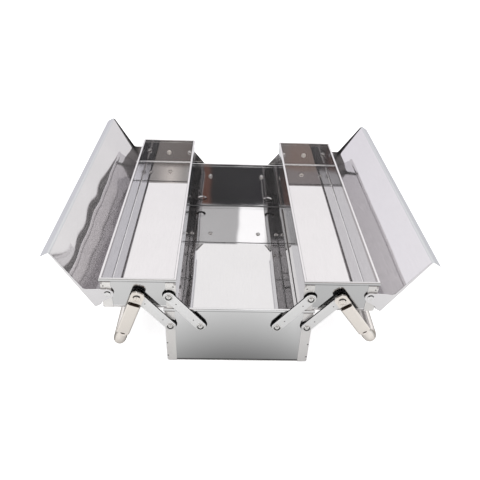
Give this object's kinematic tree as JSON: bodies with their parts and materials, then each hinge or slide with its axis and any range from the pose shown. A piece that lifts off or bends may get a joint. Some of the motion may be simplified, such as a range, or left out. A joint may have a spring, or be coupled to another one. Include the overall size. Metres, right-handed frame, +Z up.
{
  "type": "cantilever tool box",
  "caption": "Cantilever tool box of folded stainless sheet, with trays that swing out on parallel links, hinged lids and tubular bail handles.",
  "frame": {"origin": "on the floor plane under the middle of the base, level with the foot soles", "axes": "+X across the box, the way the trays swing out, +Y along the box from its front end, +Z up"},
  "size_m": [0.4982, 0.454, 0.1898],
  "materials": {
    "sheet": "stainless sheet, mirror polished inside and satin on the end panels",
    "links": "pressed stainless, satin",
    "rivets": "bright steel",
    "bushes": "turned steel",
    "handles": "polished stainless tube"
  },
  "bodies": {
    "base": {"base_shell": "sheet", "base_end_front": "sheet", "base_end_back": "sheet", "base_link_rivets": "rivets", "base_link_bushes": "bushes"},
    "left_outer_links": {"left_outer_link_front": "links", "left_outer_link_back": "links"},
    "left_inner_links": {"left_inner_link_front": "links", "left_inner_link_back": "links"},
    "left_tray": {"left_tray_shell": "sheet", "left_tray_end_front": "sheet", "left_tray_end_back": "sheet", "left_tray_link_rivets": "rivets", "left_tray_link_bushes": "bushes", "left_handle_rivets": "rivets", "left_handle_washers": "bushes", "left_lid_rivets": "rivets", "left_lid_bushes": "bushes"},
    "left_lid": {"left_lid_panel": "sheet", "left_lid_end_front": "sheet", "left_lid_end_back": "sheet"},
    "left_handle": {"left_handle": "handles"},
    "right_outer_links": {"right_outer_link_front": "links", "right_outer_link_back": "links"},
    "right_inner_links": {"right_inner_link_front": "links", "right_inner_link_back": "links"},
    "right_tray": {"right_tray_shell": "sheet", "right_tray_end_front": "sheet", "right_tray_end_back": "sheet", "right_tray_link_rivets": "rivets", "right_tray_link_bushes": "bushes", "right_handle_rivets": "rivets", "right_handle_washers": "bushes", "right_lid_rivets": "rivets", "right_lid_bushes": "bushes"},
    "right_lid": {"right_lid_panel": "sheet", "right_lid_end_front": "sheet", "right_lid_end_back": "sheet"},
    "right_handle": {"right_handle": "handles"}
  },
  "joints": [
    {"name": "left_tray_swing", "type": "hinge", "parent": "base", "child": "left_outer_links", "pos_m": [-0.0925, 0, 0.07219], "axis": [0, 1, 0], "range_deg": [0, 77.2]},
    {"name": "left_inner_link_swing", "type": "hinge", "parent": "base", "child": "left_inner_links", "pos_m": [-0.0519, 0, 0.07219], "axis": [0, 1, 0], "range_deg": [0, 77.2]},
    {"name": "left_tray_level", "type": "hinge", "parent": "left_outer_links", "child": "left_tray", "pos_m": [-0.1333, 0, 0.1233], "axis": [0, 1, 0], "range_deg": [-77.2, 0]},
    {"name": "left_lid_hinge", "type": "hinge", "parent": "left_tray", "child": "left_lid", "pos_m": [-0.1714, 0, 0.1256], "axis": [0, 1, 0], "range_deg": [0, 118.6]},
    {"name": "left_handle_pivot", "type": "hinge", "parent": "left_tray", "child": "left_handle", "pos_m": [-0.1333, 0, 0.1233], "axis": [0, 1, 0], "range_deg": [0, 187.76]},
    {"name": "right_tray_swing", "type": "hinge", "parent": "base", "child": "right_outer_links", "pos_m": [0.0925, 0, 0.07219], "axis": [0, -1, 0], "range_deg": [0, 77.2]},
    {"name": "right_inner_link_swing", "type": "hinge", "parent": "base", "child": "right_inner_links", "pos_m": [0.0519, 0, 0.07219], "axis": [0, -1, 0], "range_deg": [0, 77.2]},
    {"name": "right_tray_level", "type": "hinge", "parent": "right_outer_links", "child": "right_tray", "pos_m": [0.1333, 0, 0.1233], "axis": [0, -1, 0], "range_deg": [-77.2, 0]},
    {"name": "right_lid_hinge", "type": "hinge", "parent": "right_tray", "child": "right_lid", "pos_m": [0.1714, 0, 0.1256], "axis": [0, -1, 0], "range_deg": [0, 122.3]},
    {"name": "right_handle_pivot", "type": "hinge", "parent": "right_tray", "child": "right_handle", "pos_m": [0.1333, 0, 0.1233], "axis": [0, -1, 0], "range_deg": [0, 172.76]}
  ],
  "couplings": [
    {"joint": "left_inner_link_swing", "follows": "left_tray_swing", "ratio": 1},
    {"joint": "left_tray_level", "follows": "left_tray_swing", "ratio": -1},
    {"joint": "left_lid_hinge", "follows": "left_tray_swing", "ratio": 1.5363},
    {"joint": "left_handle_pivot", "follows": "left_tray_swing", "ratio": 2.4321},
    {"joint": "right_inner_link_swing", "follows": "right_tray_swing", "ratio": 1},
    {"joint": "right_tray_level", "follows": "right_tray_swing", "ratio": -1},
    {"joint": "right_lid_hinge", "follows": "right_tray_swing", "ratio": 1.5842},
    {"joint": "right_handle_pivot", "follows": "right_tray_swing", "ratio": 2.2378}
  ]
}
